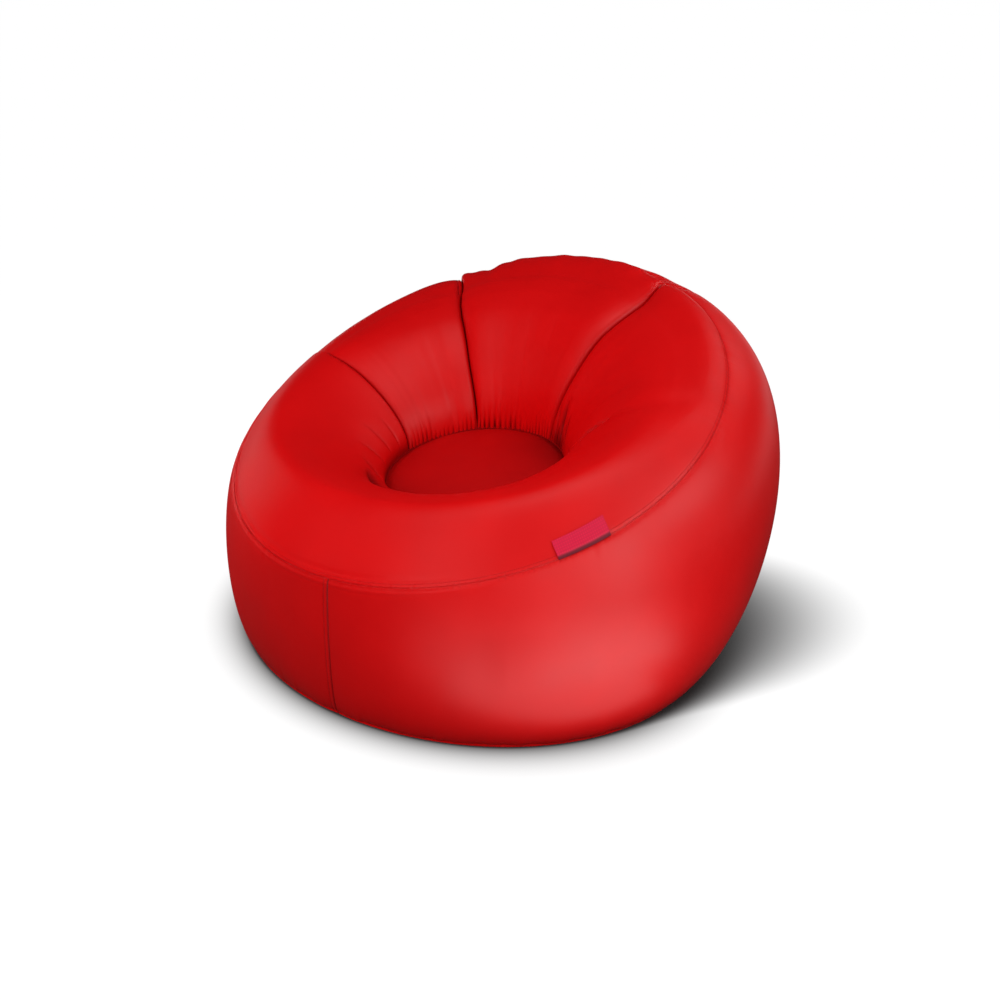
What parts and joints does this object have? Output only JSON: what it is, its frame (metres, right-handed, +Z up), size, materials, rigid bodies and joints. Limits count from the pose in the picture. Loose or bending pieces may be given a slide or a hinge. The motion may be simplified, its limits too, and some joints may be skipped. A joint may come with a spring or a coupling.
{
  "type": "inflatable bean bag chair",
  "caption": "Low round lounge chair: an air-filled fabric ring with a high back and a sunken seat, flat base, side label tab and a rolled filling neck clipped at the back.",
  "frame": {"origin": "middle of the flat base on the floor", "axes": "+Z up; the low front faces -Y and the high back +Y; +X is to the right seen from the front"},
  "size_m": [1.1947, 1.1474, 0.7042],
  "materials": {
    "shell_cloth": "satin red coated nylon",
    "seat_cloth": "satin red coated nylon",
    "base_cloth": "matt red coated nylon",
    "tether_cloth": "matt red nylon",
    "air_film": "clear soft film",
    "stiffener": "moulded strip",
    "label": "woven tape, bare",
    "webbing": "woven polyester",
    "buckle": "moulded acetal"
  },
  "bodies": {
    "shell": {"base_panel": "base_cloth", "wall_panel_left": "shell_cloth", "wall_panel_right": "shell_cloth", "top_front_panel": "shell_cloth", "back_left_panel": "shell_cloth", "back_centre_panel": "shell_cloth", "back_right_panel": "shell_cloth", "seat_panel": "seat_cloth", "seat_tether": "tether_cloth", "ring_air_cell": "air_film", "seat_air_cell": "air_film", "link_duct": "air_film", "filling_neck": "shell_cloth", "neck_liner": "air_film"},
    "closure": {"neck_roll": "shell_cloth", "roll_stiffener": "stiffener", "webbing_left": "webbing", "webbing_right": "webbing", "buckle_socket": "buckle"},
    "plug": {"buckle_plug": "buckle"},
    "arm_upper": {"latch_arm_upper": "buckle"},
    "arm_lower": {"latch_arm_lower": "buckle"},
    "label": {"label_tab": "label"}
  },
  "joints": [
    {"name": "closure_swing", "type": "hinge", "parent": "shell", "child": "closure", "pos_m": [0, 0.63616, 0.22892], "axis": [1, 0, 0], "range_deg": [-15, 60], "deforming": ["filling_neck", "neck_liner"]},
    {"name": "buckle_release", "type": "slide", "parent": "closure", "child": "plug", "axis": [-1, 0, 0], "range_m": [0, 0.024], "deforming": ["webbing_left"]},
    {"name": "latch_upper", "type": "hinge", "parent": "plug", "child": "arm_upper", "pos_m": [-0.006, 0.63616, 0.11203], "axis": [0, 1, 0], "range_deg": [0, 20.2]},
    {"name": "latch_lower", "type": "hinge", "parent": "plug", "child": "arm_lower", "pos_m": [-0.006, 0.63616, 0.09403], "axis": [0, 1, 0], "range_deg": [-20.2, 0]},
    {"name": "label_flap", "type": "hinge", "parent": "shell", "child": "label", "pos_m": [0.42362, -0.24584, 0.40094], "axis": [0.5522, 0.786, 0.278], "range_deg": [0, 90]}
  ],
  "couplings": [
    {"joint": "latch_upper", "follows": "buckle_release", "rad_per_m": 14.6},
    {"joint": "latch_lower", "follows": "buckle_release", "rad_per_m": -14.6}
  ]
}
